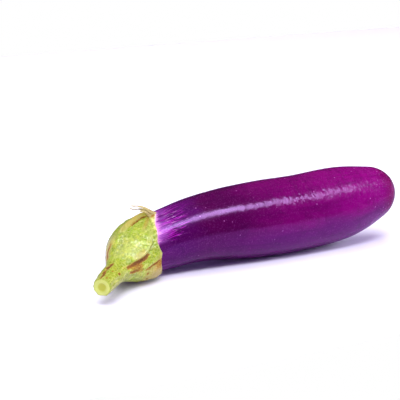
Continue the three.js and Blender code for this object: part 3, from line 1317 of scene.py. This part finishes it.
@dataclass
class Calyx:
    """The fleshy green calyx that clasps the fruit's neck.

    Its wall thins towards the rim over thinning, and its lumps start over even_rim. It runs on past the
    junction with the stem by overlap, in stations, and plunges into the stem there.
    """

    fruit: Fruit
    columns: int = 300
    skin_rows: int = 150
    lip_rows: int = 6
    cup_rows: int = 14
    rim_thickness: float = 1.0
    thinning: float = 6.0
    even_rim: float = 3.0
    skin_gap: float = 0.15
    least_wall: float = 0.8
    overlap: float = 0.12
    plunge: float = 0.6

    def __post_init__(self) -> None:
        """Lays out the columns round the stalk, and the skin's rows from the rim to just inside the stem."""
        self.degrees = np.linspace(0, 360, self.columns + 1)
        self.rim = Stalk.rim_station(self.degrees)
        part = np.linspace(0, 1, self.skin_rows)[:, None]
        self.station = self.rim + (Stalk.JUNCTION + self.overlap - self.rim) * part
        self.from_rim = (self.station - self.rim) * Stalk.SPACING

    def build(self) -> Piece:
        """Models the calyx as one closed shell.

        Returns:
            The calyx.
        """
        skin = self.skin()
        lip = self.lip()
        cap = np.repeat(skin[-1].mean(axis=0)[None, None, :], self.columns + 1, axis=1)
        rows = np.concatenate([cap, skin[::-1], lip, self.cup(lip[-1])])
        piece = wrap_grid("calyx_cup", rows, self.traits())
        shade_smooth(piece, degrees=60)
        return piece

    def skin(self) -> Array:
        """The outer skin.

        Returns:
            The skin's places by row and column.
        """
        angle = np.broadcast_to(self.degrees, self.station.shape)
        rings = Stalk.spine.rings(self.station)
        radius = rings.radius + Stalk.rise(Spots(angle, self.station, rings.radius))
        on_fruit = self.fruit.reach(rings, angle)
        thinning = np.clip(1 - self.from_rim / self.thinning, 0, 1) ** 2
        radius = radius - (radius[:1] - on_fruit[:1] - self.rim_thickness) * thinning
        radius = np.maximum(radius, on_fruit + self.least_wall)
        lumps = Stalk.lumps(rings.points(angle, rings.radius))
        past_end = np.clip((self.station - Stalk.JUNCTION) / self.overlap, 0, 1)
        radius = radius + lumps * smooth(self.from_rim / self.even_rim) - self.plunge * past_end**2
        return hold_above(rings.points(angle, radius), Stalk.CLEARANCE)

    def lip(self) -> Array:
        """The rounded edge of the rim, from the skin to the inside.

        Returns:
            The lip's places by row and column.
        """
        on_fruit = self.fruit.reach(Stalk.spine.rings(self.rim), self.degrees)
        half = (self.rim_thickness - self.skin_gap) / 2
        rows = []
        for i in range(1, self.lip_rows + 1):
            turn = math.pi * i / self.lip_rows
            edge = Stalk.spine.rings(self.rim - half * math.sin(turn) / Stalk.SPACING)
            rows.append(edge.points(self.degrees, on_fruit + self.skin_gap + half * (1 + math.cos(turn))))
        return hold_above(np.array(rows), Stalk.CLEARANCE)

    def cup(self, start: Array) -> Array:
        """The inside of the calyx, which follows the fruit's neck and closes behind its end.

        Args:
            start: The last row of the lip.

        Returns:
            The cup's places by row and column.
        """
        angle = np.radians(self.fruit.radial(start)[0])
        end = self.fruit.neck - self.fruit.shoulder.length
        rows = []
        for i in range(1, self.cup_rows + 1):
            part = math.sin(i / self.cup_rows * math.pi / 2)
            x = start[:, 0] + (end - start[:, 0]) * part
            height, radius = self.fruit.axis(np.maximum(x, end))
            radius = radius + self.skin_gap * (i < self.cup_rows)
            rows.append(
                np.stack(
                    [x - self.skin_gap * part, -radius * np.sin(angle), height + radius * np.cos(angle)], axis=-1
                )
            )
        return hold_above(np.array(rows), Stalk.CLEARANCE)

    def traits(self) -> dict[Trait, Array]:
        """The values that the calyx's points keep.

        Returns:
            By trait, the values by row and column, from the cap over the skin to the lip and the cup.
        """
        hidden = np.repeat(self.rim[None], self.lip_rows + self.cup_rows, axis=0)
        cap = np.full_like(hidden[:1], Stalk.JUNCTION)
        station = np.concatenate([cap, self.station[::-1], hidden])
        from_rim = np.concatenate([self.from_rim[-1:], self.from_rim[::-1], np.zeros_like(hidden)])
        degrees = np.broadcast_to(self.degrees, station.shape)
        return Stalk.traits(Spots(degrees, station, Stalk.spine.rings(station).radius), from_rim)


@dataclass
class Stem:
    """The stub of the stem, from inside the calyx to its cut end.

    The cut end's rings are given as (share of the radius, distance out): the rounded edge, the pale
    ring and the sunk pith. A rib is (height, number round the stem, twist, start).
    """

    sides: int = 64
    ring_step: float = 0.07
    root: float = 5.2
    root_depth: float = 0.5
    cut_end: tuple[tuple[float, float], ...] = (
        (0.985, -0.25), (0.93, 0.0), (0.80, 0.12), (0.62, 0.10),
        (0.52, 0.0), (0.45, -0.45), (0.25, -0.45), (0.08, -0.405),
    )
    ribs: tuple[tuple[float, int, float, float], ...] = ((0.12, 7, 1.0, 0.0), (0.08, 12, 0.0, 1.0))
    ribs_from: float = 5.6
    ribs_grow: float = 0.8
    skin_from: float = 0.85
    skin_grow: float = 0.1
    cut_depth: float = 1.2
    cut_facing: float = 0.5
    cut_inside: float = 0.8

    def build(self) -> Piece:
        """Models the stem.

        Returns:
            The stem.
        """
        station = np.arange(self.root, Stalk.spine.last, self.ring_step)
        rings = Stalk.spine.rings(station)
        sunk = self.root_depth * np.clip((Stalk.JUNCTION - station) / (Stalk.JUNCTION - self.root), 0, 1)
        rings = self.with_cut_end(replace(rings, radius=rings.radius - sunk))
        piece = extrude_along("stem_stub", self.sides, rings)
        apply_modifier(piece, "SUBSURF", levels=1, render_levels=1)
        self.dress(piece)
        shade_smooth(piece, degrees=50)
        return piece

    def with_cut_end(self, rings: Rings) -> Rings:
        """Adds the rings of the cut end.

        Args:
            rings: The stem's rings.

        Returns:
            All the rings in order.
        """
        shares, out = np.array(self.cut_end).T
        end = Stalk.spine.rings(np.full(len(out), float(Stalk.spine.last)))
        cut = replace(end, centre=end.centre + end.along * out[:, None], radius=end.radius * shares)
        return Rings(*map(np.concatenate, zip(astuple(rings), astuple(cut))))

    def dress(self, piece: Piece) -> None:
        """Lifts the folds, ribs and lumps on the stem's skin, and keeps its traits.

        Args:
            piece: The stem's piece.
        """
        points = points_of(piece)
        degrees, station = Stalk.locate(points)
        rings = Stalk.spine.rings(station)
        spots = Spots(degrees, station, rings.radius)
        out = points - rings.centre
        distance = np.linalg.norm(out, axis=1)
        spread = distance / rings.radius
        turn = np.radians(degrees)
        ribs = sum(
            height * np.sin(count * turn + twist * station + start) for height, count, twist, start in self.ribs
        )
        rise = Stalk.rise(spots) + ribs * smooth((station - self.ribs_from) / self.ribs_grow)
        rise = rise + Stalk.lumps(rings.points(degrees, rings.radius))
        rise = rise * smooth((spread - self.skin_from) / self.skin_grow)
        move_points(piece, points + out / distance[:, None] * rise[:, None])
        keep_traits(piece, Stalk.traits(spots, (station - Stalk.NOTCH) * Stalk.SPACING))
        keep_traits(piece, {Trait.SPREAD: spread})

    def dress_cut(self, piece: Piece) -> None:
        """Gives the stem's cut end a finish of its own.

        Args:
            piece: The stem's piece.
        """
        end = Stalk.spine.rings(np.array(float(Stalk.spine.last)))
        off = points_of(piece) - end.centre
        out = off @ end.along
        spread = np.linalg.norm(off - out[:, None] * end.along, axis=1) / end.radius
        piece.data.materials.append(CutFinish().material())
        for face in piece.data.polygons:
            corners = list(face.vertices)
            facing = Vector(end.along).dot(face.normal) > self.cut_facing
            if out[corners].min() > -self.cut_depth and (facing or spread[corners].max() < self.cut_inside):
                face.material_index = 1


@dataclass(frozen=True)
class CurledTip:
    """One dry, curled tip: points along it, its half width at the root and the end, and its twist."""

    points: tuple[Place, ...]
    root: float
    end: float
    twist: float


@dataclass
class DryTips:
    """The dry ends of the top lobe, curled back over the calyx."""

    tips: tuple[CurledTip, ...] = (
        CurledTip(
            ((-88.6, -1, 36), (-91.7, -1, 38.4), (-95, -1, 40.6), (-99.5, -1, 42.4), (-103.9, -0.6, 43)),
            root=1.5, end=0.4, twist=70,
        ),
        CurledTip(
            ((-91, -2.4, 36.2), (-94.6, -2.2, 39), (-99, -2.6, 41), (-103, -3, 41.4), (-106.1, -3, 42.2)),
            root=1.4, end=0.4, twist=-60,
        ),
        CurledTip(
            ((-93.6, -4.4, 36), (-96.4, -4.6, 39), (-99, -5, 40.2), (-101, -5.6, 40.6)),
            root=1.0, end=0.35, twist=50,
        ),
    )
    half_width: float = 0.6
    rounding: float = 0.35
    segments: int = 12

    def build(self) -> Piece:
        """Models the tips as twisted, tapering strips.

        Returns:
            The tips, joined in one piece.
        """
        pick(*[self.strip(tip) for tip in self.tips])
        bpy.ops.object.join()
        piece = bpy.context.object
        settle(piece, "calyx_dry_tips")
        dent(piece, "tip_curls", size=2.0, strength=0.5)
        shade_smooth(piece, degrees=50)
        return piece

    def strip(self, tip: CurledTip) -> Piece:
        """Models one tip.

        Args:
            tip: The tip's sizes.

        Returns:
            A closed mesh.
        """
        deselect_all()
        bpy.ops.curve.primitive_bezier_curve_add()
        curve = bpy.context.object.data
        curve.splines.clear()
        spline = curve.splines.new("BEZIER")
        last = len(tip.points) - 1
        spline.bezier_points.add(last)
        for i, (point, place) in enumerate(zip(spline.bezier_points, tip.points)):
            part = i / last
            point.co = Vector(place) * MM
            point.handle_left_type = point.handle_right_type = "AUTO"
            point.radius = tip.root + (tip.end - tip.root) * math.sqrt(part)
            point.tilt = math.radians(tip.twist * part)
        curve.dimensions = "3D"
        curve.resolution_u = self.segments
        curve.extrude = self.half_width * MM
        curve.bevel_depth = self.rounding * MM
        curve.bevel_resolution = 2
        curve.use_fill_caps = True
        bpy.ops.object.convert(target="MESH")
        close_seams(within=0.001)
        return bpy.context.object


# ---- The eggplant ----


@dataclass
class Eggplant:
    """The whole eggplant: its pieces, dressed and riding on the part's one body.

    The streaked values say how streaked the neck is at angles round it.
    """

    body: str = "root"
    streaked: tuple[tuple[float, ...], tuple[float, ...]] = (
        (0, 15, 35, 55, 68, 76, 110, 150, 190, 240, 280, 320),
        (0.40, 0.50, 0.80, 1.0, 0.75, 0.10, 0.05, 0.35, 0.6, 0.25, 0.8, 0.3),
    )
    unrolled_radius: float = 20.0

    def build(self) -> None:
        """Builds every piece in order."""
        fruit = Fruit()
        skin = fruit.build()
        self.mark_skin(fruit, skin)
        self.dress(skin, SkinFinish().material(), Slot.SKIN, "fruit")
        self.dress(Calyx(fruit).build(), StalkFinish("calyx_green").material(), Slot.CALYX, "calyx")
        self.dress(DryTips().build(), DryTipFinish().material(), Slot.CALYX, "calyx")
        stem = Stem()
        stub = stem.build()
        self.dress(stub, StalkFinish("stem_green").material(), Slot.STEM, "stem")
        stem.dress_cut(stub)

    def mark_skin(self, fruit: Fruit, skin: Piece) -> None:
        """Keeps how far each point of the fruit's skin lies past the calyx's rim, and its other traits.

        Args:
            fruit: The fruit's sizes.
            skin: The fruit's piece.
        """
        degrees = np.arange(0, 360, 1.0)
        rings = Stalk.spine.rings(Stalk.rim_station(degrees))
        rim = rings.points(degrees, fruit.reach(rings, degrees))
        rim_angle = fruit.radial(rim)[0]
        order = np.argsort(rim_angle)
        points = points_of(skin)
        angle = fruit.radial(points)[0]
        rim_x = np.interp(angle, rim_angle[order], rim[order, 0], period=360)
        keep_traits(skin, {
            Trait.PAST_RIM: points[:, 0] - rim_x,
            Trait.STREAKED: np.interp(angle, *self.streaked, period=360),
            Trait.UNROLLED: unroll(points[:, 0], angle, self.unrolled_radius),
        })

    def dress(self, piece: Piece, material: Material, slot: Slot, node: str) -> None:
        """Gives a piece its finish and ties it to the part.

        Args:
            piece: The new piece.
            material: Its finish.
            slot: The material slot that the finish belongs to; it is only logged.
            node: The node that it stands for.
        """
        piece.data.materials.clear()
        piece.data.materials.append(material)
        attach(piece, self.body)
        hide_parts(node)
        log.info("%s: %d faces, %s", piece.name, len(piece.data.polygons), slot.value)


# ---- Studio ----


class Shows(Enum):
    """What a light adds: its mirror image in glossy skins, or its light on surfaces."""

    MIRROR_IMAGE = "mirror image"
    LIGHT = "light"


@dataclass
class SoftLight:
    """A rectangular soft light that looks at the eggplant, with its long side along a direction."""

    name: str
    place: Place
    size: tuple[float, float]
    radiance: float
    shows: Shows
    colour: Colour = (1.0, 1.0, 1.0)
    lengthways: Place = (1.0, 0.0, 0.0)

    def build(self, target: Vector) -> None:
        """Hangs the light.

        Args:
            target: The place that it looks at, in metres.
        """
        light = bpy.data.lights.new(self.name, "AREA")
        light.shape = "RECTANGLE"
        light.size, light.size_y = self.size
        light.energy = self.radiance * math.pi * self.size[0] * self.size[1]
        light.color = self.colour
        lamp = bpy.data.objects.new(self.name, light)
        lamp.location = self.place
        back = (Vector(self.place) - target).normalized()
        across = back.cross(Vector(self.lengthways)).normalized()
        lamp.rotation_euler = Matrix((across.cross(back), across, back)).transposed().to_euler()
        lamp.visible_glossy = self.shows is Shows.MIRROR_IMAGE
        lamp.visible_diffuse = self.shows is Shows.LIGHT
        bpy.context.collection.objects.link(lamp)
        log.info("%s: %.1f W", self.name, light.energy)


@dataclass
class Studio:
    """A pale table, soft lights and the camera. The lights' places and sizes are metres.

    The paper's tooth and dimmed values are shares of its brightness, and it dims over a part of X in
    millimetres. The low and high fills meet over a part of the sky's height, from 0 to 1.
    """

    azimuth: float = -30.0
    elevation: float = 14.0
    distance: float = 900.0
    aim: Place = (-24.3, 56.8, 24.3)
    lens: float = 124.24
    sensor: float = 36.0
    table_front: float = -0.16
    table_back: float = 0.9
    table_width: float = 5.0
    paper: Colour = (0.88, 0.89, 0.98)
    tooth: float = 0.985
    mirrored_paper: Colour = (0.66, 0.50, 0.84)
    dimmed: float = 0.35
    dims_over: tuple[float, float] = (60, 130)
    low_fill: Colour = (0.29, 0.17, 0.50)
    high_fill: Colour = (0.15, 0.11, 0.19)
    fills_meet: tuple[float, float] = (0.35, 0.75)
    mirrored_fill: Colour = (0.020, 0.016, 0.030)
    backdrop: Colour = (1.0, 1.0, 1.0)
    target: Place = (0.0, 0.0, 0.02)
    lights: tuple[SoftLight, ...] = (
        SoftLight(
            "strip_softbox", (0.21, -0.72, 1.147), (0.54, 0.30), 21.0, Shows.MIRROR_IMAGE,
            (0.96, 1.12, 0.98), (0.938, 0.197, -0.286),
        ),
        SoftLight(
            "strip_softbox_dimmed", (0.73, -0.604, 0.979), (0.58, 0.27), 9.5, Shows.MIRROR_IMAGE,
            (0.96, 1.10, 1.00), (0.938, 0.197, -0.286),
        ),
        SoftLight("front_softbox", (-0.35, -0.66, 1.18), (1.2, 0.4), 11.0, Shows.LIGHT, (1.0, 0.97, 1.06)),
        SoftLight("calyx_softbox", (-0.60, 0.70, 1.35), (0.40, 0.30), 14.0, Shows.MIRROR_IMAGE),
        SoftLight(
            "side_softbox", (1.50, -0.30, 0.50), (0.90, 0.60), 15.0, Shows.LIGHT, (0.92, 0.88, 1.04),
            (0.0, 1.0, 0.0),
        ),
        SoftLight("top_softbox", (-0.1, 0.55, 1.8), (2.2, 1.8), 2.7, Shows.LIGHT),
    )

    def build(self) -> None:
        """Sets up the table, the lights, the surroundings and the camera."""
        self.table()
        for light in self.lights:
            light.build(Vector(self.target))
        self.surroundings()
        self.camera()

    def table(self) -> None:
        """Lays the table's pale top, with a tone of its own in the skin's mirror image."""
        deselect_all()
        bpy.ops.mesh.primitive_plane_add(size=1.0)
        top = bpy.context.object
        top.scale = (self.table_width, self.table_back - self.table_front, 1.0)
        top.location = (0.0, (self.table_front + self.table_back) / 2, 0.0)
        settle(top, "table_top")
        n = Nodes("pale_paper")
        darker = tuple(self.tooth * c for c in self.paper)
        n.colour = n.blend(n.noise(n.place(4)), darker, self.paper)
        dim = tuple(self.dimmed * c for c in self.mirrored_paper)
        mirrored = n.blend(n.step(n.axis("X", n.place()), *self.dims_over), self.mirrored_paper, dim)
        n.tint(mirrored, n.add("LightPath").outputs["Is Glossy Ray"])
        n.set(Base_Color=n.colour, Roughness=0.9, Specular_IOR_Level=0.1)
        top.data.materials.append(n.owner)
        top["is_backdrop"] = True

    def surroundings(self) -> None:
        """Surrounds the table with dim light, and with white where the camera looks straight at it."""
        n = Nodes("studio", "worlds", "Background")
        height = n.axis("Z", n.add("TexCoord").outputs["Generated"])
        path = n.add("LightPath").outputs
        n.colour = self.low_fill
        n.lay(self.high_fill, height, *self.fills_meet)
        n.tint(self.mirrored_fill, path["Is Glossy Ray"])
        n.tint(self.backdrop, path["Is Camera Ray"])
        n.set(Color=n.colour)
        bpy.context.scene.world = n.owner

    def camera(self) -> None:
        """Points the camera at the eggplant and sets how colours are shown."""
        turn = math.radians(self.azimuth)
        rise = math.radians(self.elevation)
        back = Vector((math.sin(turn) * math.cos(rise), -math.cos(turn) * math.cos(rise), math.sin(rise)))
        data = bpy.data.cameras.new("camera")
        data.lens = self.lens
        data.sensor_width = self.sensor
        camera = bpy.data.objects.new("camera", data)
        camera.location = (Vector(self.aim) + back * self.distance) * MM
        camera.rotation_euler = (-back).to_track_quat("-Z", "Y").to_euler()
        bpy.context.collection.objects.link(camera)
        bpy.context.scene.camera = camera
        bpy.context.scene.view_settings.view_transform = "Standard"


def corners() -> list[list[float]]:
    """The lowest and highest corner of all that is shown, as plain lists."""
    return [list(corner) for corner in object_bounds()]


def main() -> None:
    logging.basicConfig(level=logging.INFO, format="%(name)s: %(message)s")
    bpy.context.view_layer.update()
    Eggplant().build()
    Studio().build()


if __name__ == "__main__":
    main()
